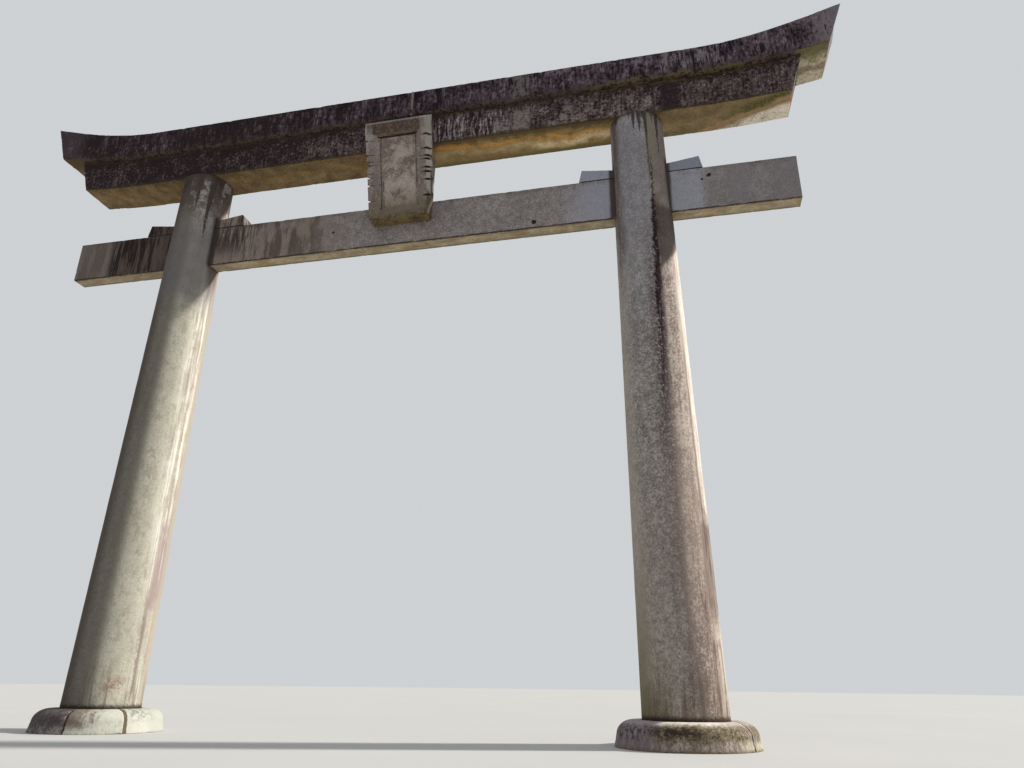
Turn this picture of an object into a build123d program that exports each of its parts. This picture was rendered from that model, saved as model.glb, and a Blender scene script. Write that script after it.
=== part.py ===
from build123d import *
import os
from math import atan2, cos, degrees, radians, sin

# A free-standing stone gate of the myojin torii kind. Two round pillars lean in a little and stand through
# turtle-back rings of base stones. A tie beam runs through both pillars and is wedged tight. A strut on the
# beam backs a leaning plaque. On top lies a lintel of two layers whose ends sweep up and are cut on a slant.
# Millimetres. X runs along the lintel, the front faces -Y, Z is up and the ground is Z = 0.
# Left and right are as seen from the front.

# Pillars
pillar_spacing = 6000
pillar_foot_diameter = 776
pillar_head_diameter = 622
pillar_lean = 118

# Base stones, a ring round each pillar foot
base_height = 224
base_diameter = 1280
base_side_height = 100
base_side_taper = 22
base_rim_width = 78
base_joint_recess = 9

# Joints between the base stones: the angle of each, counted from +X, and its width
base_joints = {
    "left": ((-28, 24), (92, 10), (170, 10), (281, 10)),
    "right": ((-29, 10), (40, 10), (110, 10), (176, 10)),
}

# Lower lintel
soffit_height = 6750
lower_lintel_height = 450
lower_lintel_depth = 480
lower_lintel_half_length = 4660
lower_lintel_end_rise = 50
lower_lintel_end_slope = 0.09
lower_lintel_end_slant = 0.30

# Upper lintel
upper_lintel_height = 370
upper_lintel_depth = 600
upper_lintel_half_length = 5120
upper_lintel_tip_reach = 190
upper_lintel_bed_rise = 150
upper_lintel_bed_slope = 0.19
upper_lintel_tip_rise = 320
upper_lintel_tip_slope = 0.29
roof_pitch_rise = 90
sweep_start = 3600

# The stones of both lintel layers meet a little right of the middle
lintel_joint_x = 100
upper_joint_width = 30
lower_joint_width = 12
lintel_joint_recess = 4

# Tie beam and its wedges
strut_height = 754
beam_height = 550
beam_depth = 203
beam_half_length = 4615
beam_arris = 8
wedge_reach = 710
wedge_inner_end = 30
wedge_outer_height = 162
wedge_inner_height = 78
wedge_end_undercut = 35
wedge_arris = 4

# Strut and plaque
strut_width = 640
plaque_centre_x = 15
plaque_lean = 15
plaque_face_length = 1216
plaque_foot_width = 735
plaque_head_width = 783
plaque_thickness = 250
plaque_top_rise = 130
plaque_foot_drop = 282
plaque_foot_reach = 180
frame_lip = 22
frame_splay_width = 118
frame_splay_depth = 72
frame_step_width = 26
frame_step_depth = 16
panel_step_depth = 14
notch_depth = 36
notch_width = 26
notch_rise = 20
notch_places = (0.180, 0.341, 0.422, 0.466, 0.552, 0.586, 0.662, 0.811)

# Clearance between stones that are laid against each other
seat = 0.3

# Cutting shapes run past the stone by overcut, or past the whole gate by beyond
overcut = 1
beyond = 20000

nodes = {}


def box_between(x_range, y_range, z_range):
    """A box given by its two limits along each axis."""
    size = [high - low for low, high in (x_range, y_range, z_range)]
    centre = [(high + low) / 2 for low, high in (x_range, y_range, z_range)]
    return Pos(*centre) * Box(*size)


def upright_slab(face, y_front, y_back):
    """Extrude a face drawn on the X-Z plane so that it fills the depth from y_front to y_back."""
    return extrude(Pos(0, y_back, 0) * face, amount=y_back - y_front, dir=(0, -1, 0))


def elevation(edges):
    """A face on the X-Z plane from edges whose points are written as (x, z)."""
    return Plane.XZ * make_face(edges)


def swept_line(z, end_x, rise, slope):
    """The right half of a lintel line: level from x = 0, then sweeping up to (end_x, z + rise)."""
    level = Line((0, z), (sweep_start, z))
    sweep = Spline((sweep_start, z), (end_x, z + rise), tangents=[(1, 0), (1, slope)])
    return level, sweep


def both_sides(shape):
    """A shape together with its mirror image across the middle of the gate."""
    return shape + mirror(shape, about=Plane.YZ)


# Pillars
def pillar_axis_x(z):
    """Distance of a pillar's axis from the middle of the gate at height z."""
    return pillar_spacing / 2 - pillar_lean * (z - base_height) / (soffit_height - base_height)


def pillar_radius(z):
    share = (z - base_height) / (soffit_height - base_height)
    return (pillar_foot_diameter + (pillar_head_diameter - pillar_foot_diameter) * share) / 2


def pillar_shaft(bottom, top, clearance=0.0):
    """The right pillar's leaning, tapering shaft between two heights."""
    rings = []
    for z in (bottom, top):
        rings.append(Pos(pillar_axis_x(z), 0, z) * Circle(pillar_radius(z) + clearance))
    return loft(rings)


# The strut's height under the lintel sets the level of the beam, and the plaque stands on the beam's front
beam_top_height = soffit_height - strut_height
beam_bottom_height = beam_top_height - beam_height
plaque_foot_height = beam_top_height - plaque_foot_drop

# Wedges: thin end inside the pillar, thick end outside, with the end face undercut
wedge_centre_x = pillar_axis_x(beam_top_height)


def wedge(direction, clearance=0.0):
    """A wedge over the beam at the right pillar, on the outer (+1) or inner (-1) side of its axis."""
    bottom = beam_top_height + seat - clearance
    corners = [
        (wedge_inner_end - clearance, bottom),
        (wedge_reach, bottom),
        (wedge_reach - wedge_end_undercut, beam_top_height + wedge_outer_height + clearance),
        (wedge_inner_end - clearance, beam_top_height + wedge_inner_height + clearance),
    ]
    points = [(wedge_centre_x + direction * x, z) for x, z in corners]
    face = elevation(Polyline(*points, close=True))
    half_depth = beam_depth / 2 + clearance
    return upright_slab(face, -half_depth, half_depth)


beam_slot = box_between(
    (0, beam_half_length),
    (-beam_depth / 2 - seat, beam_depth / 2 + seat),
    (beam_bottom_height - seat, beam_top_height + seat),
)

right_pillar = pillar_shaft(0, soffit_height - seat)
right_pillar -= beam_slot
for direction in (1, -1):
    right_pillar -= wedge(direction, clearance=seat)
nodes["pillar_right"] = right_pillar
nodes["pillar_left"] = mirror(right_pillar, about=Plane.YZ)

for direction, place in ((1, "outer"), (-1, "inner")):
    piece = wedge(direction)
    piece = chamfer(piece.edges().filter_by(Axis.Y), wedge_arris)
    nodes[f"wedge_right_{place}"] = piece
    nodes[f"wedge_left_{place}"] = mirror(piece, about=Plane.YZ)


# Base stones: a turned ring, cut by radial joints and filled with mortar
def base_ring(inset):
    """The turtle-back ring round an upright axis at the origin, made smaller all over by inset."""
    foot_radius = base_diameter / 2 - inset
    side_radius = foot_radius - base_side_taper
    top = base_height - inset
    rim_radius = pillar_foot_diameter / 2 + base_rim_width
    outline = [
        Line((0, 0), (foot_radius, 0)),
        Line((foot_radius, 0), (side_radius, base_side_height)),
        EllipticalCenterArc(
            (rim_radius, base_side_height),
            side_radius - rim_radius,
            top - base_side_height,
            start_angle=0,
            arc_size=90,
        ),
        Line((rim_radius, top), (0, top)),
        Line((0, top), (0, 0)),
    ]
    return revolve(elevation(outline), Axis.Z)


def joint_blade(angle, width):
    """An upright slab of stone-joint width that runs out from the axis at an angle."""
    blade = box_between((0, base_diameter), (-width / 2, width / 2), (-overcut, base_height + overcut))
    return Rot(0, 0, angle) * blade


def turn_from(angle, stone, centre_x):
    """How far round the pillar a base stone lies, counted from an angle in degrees."""
    middle = stone.center()
    return (degrees(atan2(middle.Y, middle.X - centre_x)) - angle) % 360


for side, sign in (("left", -1), ("right", 1)):
    centre_x = sign * pillar_spacing / 2
    centre = Pos(centre_x, 0, 0)
    hole = pillar_shaft(-overcut, base_height + overcut, clearance=seat)
    if side == "left":
        hole = mirror(hole, about=Plane.YZ)
    ring = centre * base_ring(0) - hole
    filling = centre * base_ring(base_joint_recess) - hole
    for number, (angle, width) in enumerate(base_joints[side], start=1):
        ring -= centre * joint_blade(angle, width)
        nodes[f"base_mortar_{side}_{number}"] = filling & (centre * joint_blade(angle, width - 2 * seat))
    first_angle = base_joints[side][0][0]
    stones = sorted(ring.solids(), key=lambda stone: turn_from(first_angle, stone, centre_x))
    for number, stone in enumerate(stones, start=1):
        nodes[f"base_stone_{side}_{number}"] = stone

# Tie beam
beam = box_between(
    (-beam_half_length, beam_half_length),
    (-beam_depth / 2, beam_depth / 2),
    (beam_bottom_height, beam_top_height),
)
nodes["tie_beam"] = chamfer(beam.edges().filter_by(Axis.X), beam_arris)

# Lower lintel: level in the middle, lifting a little towards its slanting ends
bed_height = soffit_height + lower_lintel_height
bed_line = swept_line(bed_height, upper_lintel_half_length, upper_lintel_bed_rise, upper_lintel_bed_slope)
soffit_line = swept_line(
    soffit_height, lower_lintel_half_length, lower_lintel_end_rise, lower_lintel_end_slope
)
end_z = soffit_height + lower_lintel_end_rise
above_end_z = bed_height + upper_lintel_bed_rise
above_end_x = lower_lintel_half_length + lower_lintel_end_slant * (above_end_z - end_z)
lower_end = (lower_lintel_half_length, end_z)
lower_outline = [
    *soffit_line,
    Polyline(lower_end, (above_end_x, above_end_z), (0, above_end_z), (0, soffit_height)),
]
bed_end = (upper_lintel_half_length, above_end_z)
over_bed = [
    *bed_line,
    Polyline(bed_end, (upper_lintel_half_length, beyond), (0, beyond), (0, bed_height)),
]
lower_face = elevation(lower_outline)
lower_block = both_sides(upright_slab(lower_face, -lower_lintel_depth / 2, lower_lintel_depth / 2))
room_above = both_sides(upright_slab(elevation(over_bed), -upper_lintel_depth, upper_lintel_depth))
lower_block -= Pos(0, 0, -seat) * room_above


# Upper lintel: its top is pitched to the front and back and rises more steeply towards the tips
def upper_outline(ridge):
    """The right half of the upper lintel in elevation, with its top raised by ridge."""
    top = bed_height + upper_lintel_height + ridge
    tip_x = upper_lintel_half_length + upper_lintel_tip_reach
    top_line = swept_line(top, tip_x, upper_lintel_tip_rise, upper_lintel_tip_slope)
    end_face = Line(bed_end, (tip_x, top + upper_lintel_tip_rise))
    return elevation([*bed_line, end_face, *top_line, Line((0, top), (0, bed_height))])


eaves_y = upper_lintel_depth / 2
front_half = loft([Pos(0, -eaves_y, 0) * upper_outline(0), upper_outline(roof_pitch_rise)], ruled=True)
right_half = front_half + mirror(front_half, about=Plane.XZ)
upper_block = both_sides(right_half)


def split_at_joint(block, width):
    """The stone left of the lintel joint, the stone right of it, and the slice that lies between them."""
    left_limit = lintel_joint_x - width / 2
    right_limit = lintel_joint_x + width / 2
    left = block & box_between((-beyond, left_limit), (-beyond, beyond), (0, beyond))
    right = block & box_between((right_limit, beyond), (-beyond, beyond), (0, beyond))
    slice_limits = (left_limit + seat, right_limit - seat)
    depth = block.bounding_box().size.Y / 2 - lintel_joint_recess
    between = block & box_between(slice_limits, (-depth, depth), (0, beyond))
    return left, right, between


layers = (("lower", lower_block, lower_joint_width), ("upper", upper_block, upper_joint_width))
for layer, block, width in layers:
    left, right, between = split_at_joint(block, width)
    nodes[f"{layer}_lintel_left"] = left
    nodes[f"{layer}_lintel_right"] = right
    nodes[f"{layer}_lintel_mortar"] = between

# Plaque: one slab with a splayed frame round a bare panel. Its own frame has the origin at the foot of the
# front face, x across, y up the face and z out of the face. Its foot is cut level, and its back is cut
# upright where it lies against the beam.
lean = radians(plaque_lean)
foot_back_y = -(beam_depth / 2 + seat)
foot_front_y = foot_back_y - plaque_foot_reach
foot_front = Vector(plaque_centre_x, foot_front_y, plaque_foot_height)
plaque_plane = Plane(origin=foot_front, x_dir=(1, 0, 0), z_dir=(0, -cos(lean), -sin(lean)))


def plaque_half_width(height, inset=0.0):
    share = height / plaque_face_length
    return (plaque_foot_width + (plaque_head_width - plaque_foot_width) * share) / 2 - inset


def plaque_outline(inset):
    """The face of the plaque, a little wider at its head, drawn in from the edges by inset."""
    low = inset
    high = plaque_face_length - inset
    points = []
    for height, sign in ((low, -1), (low, 1), (high, 1), (high, -1)):
        points.append((sign * plaque_half_width(height, inset), height))
    return make_face(Polyline(*points, close=True))


side_view = make_face(
    Polyline(
        (0, -plaque_thickness),
        (-plaque_thickness, -plaque_thickness),
        (-plaque_thickness, plaque_face_length + plaque_top_rise),
        (0, plaque_face_length),
        close=True,
    )
)
side_plane = Plane(origin=(0, 0, 0), x_dir=(0, 0, 1), z_dir=(-1, 0, 0))
slab = extrude(side_plane * side_view, amount=plaque_head_width, both=True)
flank_ends = []
for height, sign in ((-plaque_thickness, 1), (plaque_face_length + plaque_top_rise, -1)):
    flank_ends.append((-sign * plaque_half_width(height), height))
    flank_ends.append((sign * plaque_half_width(height), height))
slab &= extrude(make_face(Polyline(*flank_ends, close=True)), amount=-plaque_thickness)

# Splayed frame, then a narrow step, then the panel
splay_inset = frame_lip + frame_splay_width
panel_inset = splay_inset + frame_step_width
splay_floor = Pos(0, 0, -frame_splay_depth) * plaque_outline(splay_inset)
slab -= loft([plaque_outline(frame_lip), splay_floor], ruled=True)
step_floor = frame_splay_depth + frame_step_depth
slab -= extrude(plaque_outline(splay_inset), amount=-step_floor)
slab -= extrude(plaque_outline(panel_inset), amount=-(step_floor + panel_step_depth))

# Grooves carved across the two flanks, rising a little towards the back
rise = radians(notch_rise)
groove_way = (0, sin(rise), -cos(rise))
for place in notch_places:
    height = place * plaque_face_length
    for sign in (-1, 1):
        edge = sign * (plaque_half_width(height) + overcut)
        tip = sign * (plaque_half_width(height) - notch_depth)
        groove = make_face(
            Polyline(
                (edge, height - notch_width / 2),
                (tip, height),
                (edge, height + notch_width / 2),
                close=True,
            )
        )
        slab -= extrude(groove, amount=plaque_thickness / cos(rise), dir=groove_way)
plaque = plaque_plane * slab
plaque -= box_between((-beyond, beyond), (-beyond, beyond), (-beyond, plaque_foot_height))
plaque -= box_between((-beyond, beyond), (foot_back_y, beyond), (-beyond, beyond))
nodes["plaque"] = plaque


# Strut between beam and lower lintel; its front is cut to the lean of the plaque's back
def plaque_back_y(z):
    """How far back the leaning back of the plaque lies at height z."""
    return foot_front_y + (plaque_thickness - (z - plaque_foot_height) * sin(lean)) / cos(lean)


strut_bottom = beam_top_height + seat
strut_top = soffit_height - seat
strut_side = [
    (plaque_back_y(strut_bottom) + seat, strut_bottom),
    (beam_depth / 2, strut_bottom),
    (beam_depth / 2, strut_top),
    (plaque_back_y(strut_top) + seat, strut_top),
]
strut_face = Plane.YZ * make_face(Polyline(*strut_side, close=True))
nodes["strut"] = extrude(strut_face, amount=strut_width / 2, both=True)

# Write every piece to its own file
os.makedirs("parts", exist_ok=True)
for name, piece in nodes.items():
    solids = piece.solids()
    if len(solids) != 1:
        raise ValueError(f"{name} has {len(solids)} solids, not one")
    export_step(solids[0], f"parts/{name}.step")
print(len(nodes), "pieces written")
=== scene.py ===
import bmesh
import bpy
from math import cos, inf, pi, radians, sin
from mathutils import Matrix, Vector, kdtree, noise


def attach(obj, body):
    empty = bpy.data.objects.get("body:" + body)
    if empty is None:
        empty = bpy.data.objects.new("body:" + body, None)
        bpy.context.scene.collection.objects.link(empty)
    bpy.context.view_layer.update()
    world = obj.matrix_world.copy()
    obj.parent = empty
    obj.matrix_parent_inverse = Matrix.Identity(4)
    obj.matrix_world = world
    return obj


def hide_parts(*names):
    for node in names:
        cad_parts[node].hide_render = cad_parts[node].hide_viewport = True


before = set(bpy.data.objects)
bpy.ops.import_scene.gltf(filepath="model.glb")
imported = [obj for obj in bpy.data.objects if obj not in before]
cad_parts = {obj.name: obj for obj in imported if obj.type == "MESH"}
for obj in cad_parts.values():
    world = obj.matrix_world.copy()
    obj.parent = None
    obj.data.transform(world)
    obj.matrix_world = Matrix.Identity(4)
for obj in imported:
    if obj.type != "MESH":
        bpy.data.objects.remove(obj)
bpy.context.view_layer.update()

# Base stones: four granite blocks round each pillar foot, rounded over like a turtle's back. They are cut as
# sectors of one ring and stand on the ground. Feet and rain have worn the arrises soft, and moss grows on the
# shoulder that stays damp.
base_voxel = 0.010
base_hollow = 0.005
base_chip = 0.014
pillar_spacing = 6.0
palette_power = 2.2
flat_angle = radians(0.6)
arris_angle = radians(30)
sharp_angle = radians(40)
# waves of the dressing and of the chipping: how many there are in a metre, and the share of each
hollow_waves = ((4.0, 0.6), (17.0, 0.4))
chip_waves = ((7.0, 1.0), (29.0, 0.7))
chip_start = 0.15
chip_gain = 1.6


class Value:
    """A socket in a finish. A sum, difference, product or quotient of values adds its Math node."""

    def __init__(self, tree, socket):
        self.tree = tree
        self.socket = socket

    def node(self, kind, settings, sockets, output=0):
        """Any other node: its type and settings, what its sockets are given, and the output to use."""
        made = self.tree.nodes.new(kind)
        for name, setting in settings.items():
            setattr(made, name, setting)
        for name, given in sockets.items():
            if isinstance(given, Value):
                self.tree.links.new(given.socket, made.inputs[name])
            else:
                made.inputs[name].default_value = given
        if isinstance(output, tuple):
            return [Value(self.tree, made.outputs[name]) for name in output]
        return Value(self.tree, made.outputs[output]) if made.outputs else None

    def maths(self, operation, first, second=0.0):
        return self.node("ShaderNodeMath", {"operation": operation}, {0: first, 1: second})

    def __add__(self, other):
        return self.maths("ADD", self, other)

    def __sub__(self, other):
        return self.maths("SUBTRACT", self, other)

    def __rsub__(self, other):
        return self.maths("SUBTRACT", other, self)

    def __mul__(self, other):
        return self.maths("MULTIPLY", self, other)

    def __truediv__(self, other):
        return self.maths("DIVIDE", self, other)

    def __neg__(self):
        return self.maths("MULTIPLY", self, -1.0)

    def __abs__(self):
        return self.maths("ABSOLUTE", self)

    def coat(self, red, green, blue, share):
        """Lays a coat of a palette colour over this colour, hiding it by share."""
        self.socket = cover(self, paint(red, green, blue), share).socket

    __radd__ = __add__
    __rmul__ = __mul__


def start_finish(name):
    """A new finish, and the place of a point on the stone in metres from the gate's own origin."""
    material = bpy.data.materials.new(name)
    material.use_nodes = True
    material.node_tree.nodes.clear()
    place = Value(material.node_tree, None).node("ShaderNodeTexCoord", {}, {}, "Object")
    return material, place


def along(vector):
    """The three numbers of a place or of a direction."""
    return vector.node("ShaderNodeSeparateXYZ", {}, {"Vector": vector}, ("X", "Y", "Z"))


def facing(place):
    """The direction in which the surface faces, as three numbers."""
    return along(place.node("ShaderNodeNewGeometry", {}, {}, "Normal"))


def worn(place, name):
    """What the wear wrote on the skin: arris is 1 on an arris, chip is 1 where a chip has broken out."""
    return place.node("ShaderNodeAttribute", {"attribute_name": name}, {}, "Fac")


def cloud(place, size, detail=3.0, wide=1, tall=1, shift=0.0, rough=0.5):
    """Patches from 0 to 1 of about this size in metres, drawn out along the gate or upright."""
    scale = [1 / (size * share) for share in (wide, 1, tall)]
    sockets = {"Vector": place, "Location": (shift, shift, shift), "Scale": scale}
    spread = place.node("ShaderNodeMapping", {}, sockets)
    sockets = {"Vector": spread, "Scale": 1.0, "Detail": detail, "Roughness": rough}
    return spread.node("ShaderNodeTexNoise", {}, sockets, "Fac")


def rise(value, low, high):
    """0 below low and 1 above high, with a soft change between them; it falls where low is the larger."""
    sockets = {"Value": value, "From Min": low, "From Max": high}
    return value.node("ShaderNodeMapRange", {"interpolation_type": "SMOOTHSTEP"}, sockets)


def band(value, low, high, soft):
    """1 between low and high, fading to 0 over a width of soft on both sides."""
    return rise(value, low - soft, low + soft) * rise(value, high + soft, high - soft)


def mean(first, second):
    return first * 0.5 + second * 0.5


def sway(patches, amount):
    """Patches from 0 to 1 as a push to and fro, by half the amount each way."""
    return (patches - 0.5) * amount


def angle(sine, cosine):
    """The angle in degrees of a direction, from what is in proportion to its sine and its cosine."""
    return sine.maths("ARCTAN2", sine, cosine) * (180 / pi)


def paint(red, green, blue):
    """A colour as it is mixed on a palette, from 0 to 255."""
    return (red / 255, green / 255, blue / 255, 1.0)


def cover(under, coat, share):
    """A colour with a coat over it that hides it by share."""
    return share.node("ShaderNodeMix", {"data_type": "RGBA"}, {0: share, 6: under, 7: coat}, 2)


def granite(place, pale, dark, grain, drift_size=0.8):
    """Bush-hammered granite: grains of this size in metres in a body that drifts from pale to dark."""
    crystals = cloud(place, grain, detail=4.0, rough=0.8)
    mottle = cloud(place, 0.07, detail=5.0, shift=3.0, rough=0.68)
    drift = cloud(place, drift_size, detail=4.0, shift=11.0, rough=0.6)
    share = rise(crystals, 0.40, 0.60) * 0.5 + rise(mottle, 0.38, 0.62) * 0.3 + rise(drift, 0.36, 0.64) * 0.2
    colour = cover(dark, pale, share)
    mica = rise(cloud(place, grain * 0.8, detail=3.0, shift=23.0, rough=0.7), 0.57, 0.66)
    colour.coat(48, 44, 44, mica * 0.55)
    quartz = rise(cloud(place, grain * 0.7, detail=3.0, shift=31.0, rough=0.7), 0.59, 0.68)
    colour.coat(206, 199, 190, quartz * 0.4)
    return colour, crystals * 0.4 + mottle * 0.6


def finish(material, colour, roughness, height, relief):
    """Puts colour, roughness and a relief in metres on the stone. A power turns palette into light."""
    light = colour.node("ShaderNodeGamma", {}, {"Color": colour, "Gamma": palette_power}, "Color")
    sockets = {"Strength": 1.0, "Distance": relief, "Height": height}
    bump = height.node("ShaderNodeBump", {}, sockets, "Normal")
    sockets = {"Base Color": light, "Roughness": roughness, "Specular IOR Level": 0.2, "Normal": bump}
    stone = colour.node("ShaderNodeBsdfPrincipled", {}, sockets, "BSDF")
    stone.node("ShaderNodeOutputMaterial", {}, {"Surface": stone})


def stone_shape(node):
    """A node's shape with its doubles merged and its flat triangles joined to whole faces."""
    shape = bmesh.new()
    shape.from_mesh(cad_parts[node].data)
    bmesh.ops.remove_doubles(shape, verts=shape.verts[:], dist=1e-5)
    bmesh.ops.dissolve_limit(shape, angle_limit=flat_angle, verts=shape.verts[:], edges=shape.edges[:])
    return shape


def arrises(shape):
    return [edge for edge in shape.edges if edge.calc_face_angle() > arris_angle]


def arris_map(shape, spacing=0.012):
    """Points along every arris, to find how far a point on the skin is from the nearest one."""
    points = []
    for edge in arrises(shape):
        start, end = (vertex.co for vertex in edge.verts)
        count = max(1, round(edge.calc_length() / spacing))
        for number in range(count + 1):
            points.append(start.lerp(end, number / count))
    found = kdtree.KDTree(len(points))
    for number, point in enumerate(points):
        found.insert(point, number)
    found.balance()
    return found


def wear(shape, edges, hollow, chip, reach=0.035):
    """Sinks the skin by the hollows of the dressing and breaks chips out of the arrises, never outward."""
    shape.normal_update()
    arris_layer = shape.verts.layers.float.new("arris")
    chip_layer = shape.verts.layers.float.new("chip")
    moves = []
    for vertex in shape.verts:
        place = vertex.co
        sunk = sum(hollow * (0.5 + 0.5 * noise.noise(place * waves)) * share for waves, share in hollow_waves)
        near = max(0.0, 1 - edges.find(place)[2] / reach)
        rough = sum(share * noise.noise(place * waves) for waves, share in chip_waves)
        broken = near * near * min(1.0, max(0.0, rough - chip_start) * chip_gain)
        vertex[arris_layer] = near
        vertex[chip_layer] = broken
        moves.append(-vertex.normal * (sunk + chip * broken))
    for vertex, move in zip(shape.verts, moves):
        vertex.co += move


def mesh_from(name, shape):
    mesh = bpy.data.meshes.new(name)
    shape.to_mesh(mesh)
    shape.free()
    return mesh


def placed(name, data):
    """A new object in the scene with this mesh, light or camera."""
    made = bpy.data.objects.new(name, data)
    bpy.context.scene.collection.objects.link(made)
    return made


def modified(piece):
    """The mesh that a piece's modifiers make of it."""
    return bpy.data.meshes.new_from_object(piece.evaluated_get(bpy.context.evaluated_depsgraph_get()))


def set_in_place(name, shape, material, nodes):
    """Makes a shape the piece that stands for these nodes."""
    mesh = mesh_from(name, shape)
    mesh.materials.append(material)
    mesh.shade_smooth()
    mesh.set_sharp_from_angle(angle=sharp_angle)
    piece = placed(name, mesh)
    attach(piece, "root")
    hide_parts(*nodes)
    return piece


def remeshed(shape, voxel):
    """The same shape as an even net of small faces, with its arrises eased."""
    mesh = mesh_from("even_net", shape)
    carrier = placed("even_net", mesh)
    net = carrier.modifiers.new("net", "REMESH")
    net.mode = "VOXEL"
    net.voxel_size = voxel
    netted = modified(carrier)
    bpy.data.objects.remove(carrier)
    even = bmesh.new()
    even.from_mesh(netted)
    bpy.data.meshes.remove(netted)
    bpy.data.meshes.remove(mesh)
    return even


base_finish, place = start_finish("base_granite_weathered")
x, y, z = along(place)
up = facing(place)[2]
blotch = cloud(place, 0.16, detail=6, shift=5, rough=0.68)
stain = cloud(place, 0.045, detail=5, shift=15, rough=0.7)
runs = cloud(place, 0.03, detail=4, tall=5, shift=2, rough=0.6)
ring_x = pillar_spacing / 2
left = rise(x, 0.5, -0.5)
right = 1 - left
rounded = rise(up, 0.95, 0.6)
colour, height = granite(place, paint(180, 167, 156), paint(108, 96, 90), grain=0.014, drift_size=0.4)
# the flat rim is washed paler than the rounded side, which keeps soft upright runs of grime; on the right
# ring the rim is also painted pale as sunlight
colour.coat(92, 80, 76, rounded * rise(runs, 0.44, 0.6) * 0.65)
around = angle(y, x - ring_x)
# painted sunlight on the flat rim of the right ring
sunny_rim = rise(up, 0.72, 0.95) * right * (0.85 - 0.4 * band(around, -52, 30, 14))
colour.coat(222, 213, 204, sunny_rim)
# right ring: a dark damp band of moss on the front shoulder with an olive fringe and round dry spots
right_front = right * band(around, -121, -34, 10)
level = z + sway(stain, 0.1) + sway(blotch, 0.08)
fringe = band(level, 0.085, 0.2, 0.03) * right_front
core = band(level, 0.115, 0.182, 0.018) * right_front * rise(around + sway(blotch, 60), -62, -86)
colour.coat(114, 103, 78, fringe * (0.3 + 0.55 * rise(stain, 0.4, 0.54)))
colour.coat(50, 41, 37, core * rise(stain, 0.6, 0.47) * 0.92)
specks = rise(cloud(place, 0.022, detail=5, shift=19, rough=0.8), 0.48, 0.55)
colour.coat(60, 52, 40, fringe * specks * 0.75)
dry = rise(cloud(place, 0.026, detail=2, shift=9), 0.6, 0.66) * band(around, -66, -24, 8) * rounded
colour.coat(168, 160, 124, dry * right * rise(z, 0.06, 0.1) * 0.7)
colour.coat(196, 194, 168, band(around, -46, 6, 8) * right * rise(level, 0.12, 0.03) * 0.55)
beyond_joint = band(around, -27, 20, 3) * right * rise(level, 0.06, 0.11) * (0.4 + 0.6 * rounded)
colour.coat(112, 105, 80, beyond_joint * (0.25 + 0.5 * rise(stain, 0.42, 0.54)))
colour.coat(70, 62, 46, beyond_joint * rise(mean(specks, stain), 0.42, 0.6) * 0.6)
# its left end, turned away from the light in the pillar's shadow, is painted purple grey as shade, with black
# runs
shaded_left_end = rise(around, -106, -124) * right * rise(y, 0.3, 0)
colour.coat(108, 98, 106, shaded_left_end * 0.6)
dark_runs = rise(stain * 0.4 + runs * 0.6, 0.47, 0.58) * band(level, 0.09, 0.2, 0.03)
colour.coat(58, 50, 52, shaded_left_end * dark_runs * 0.85)
# left ring: cream, with black stains over the shoulder of the middle stone that grow toward the side turned
# away from the light; the left stone, on that side, is painted dark as shade where the pillar's shadow falls,
# with darker blotches
away_from_light = -0.982 * (x + ring_x) - 0.191 * y
left_around = angle(y, x + ring_x)
colour.coat(176, 178, 166, left * (0.65 + 0.25 * rise(stain, 0.36, 0.52)))
right_stone = rise(left_around, -29, -26) * rise(left_around, 80, 70) * left
colour.coat(178, 177, 166, right_stone * 0.7)
shoulder = rise(level, 0.03, 0.12)
grime = stain * 0.45 + blotch * 0.3 + runs * 0.25 + (away_from_light + 0.16) * 0.45
crust = rise(grime, 0.43, 0.57) * left * shoulder
colour.coat(84, 74, 67, crust * rise(away_from_light, -0.36, -0.2) * 0.85)
stained = rise(away_from_light + sway(blotch, 0.3), -0.3, -0.04) * rise(level, 0.02, 0.1) * left
colour.coat(112, 102, 92, stained * 0.75)
# painted shade on the half turned away from the light, lighter near the ground, with darker blotches above
painted_shade_far_half = rise(away_from_light, -0.004, 0.008) * left
colour.coat(98, 91, 91, painted_shade_far_half * (0.92 - 0.45 * rise(level, 0.09, 0.02)))
colour.coat(66, 59, 60, painted_shade_far_half * rise(mean(blotch, stain) + z * 0.5, 0.46, 0.6) * 0.75)
olive = rise(stain, 0.42, 0.58) * rise(level, 0.1, 0.16) * left * band(left_around, -24, 8, 5)
colour.coat(112, 113, 106, olive * 0.75)
colour.coat(158, 160, 150, left * band(left_around, -2, 34, 8) * 0.75)
# earth creeps up the right ring from the ground, and paler stone shows where chips have broken out
foot = rise(z + sway(stain, 0.04), 0.035, 0)
colour.coat(104, 92, 70, foot * right * 0.6)
colour.coat(206, 198, 184, worn(place, "chip") * 0.4)
finish(base_finish, colour, roughness=0.9, height=height + stain * 0.5, relief=0.005)

for side in ("left", "right"):
    for number in (1, 2, 3, 4):
        node = f"base_stone_{side}_{number}"
        shape = stone_shape(node)
        edges = arris_map(shape)
        shape = remeshed(shape, base_voxel)
        wear(shape, edges, base_hollow, base_chip)
        for vertex in shape.verts:
            vertex.co.z = max(vertex.co.z, 0.0)
        set_in_place(f"{node}_worn", shape, base_finish, [node])

# Mortar: lime pointing in the joints of the base rings and of both lintel layers. It was trowelled in, has
# shrunk back a little from the face, and has gone brown at the foot and grey under the lintel's lichen.


def most(first, second):
    return first.maths("MAXIMUM", first, second)


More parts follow.
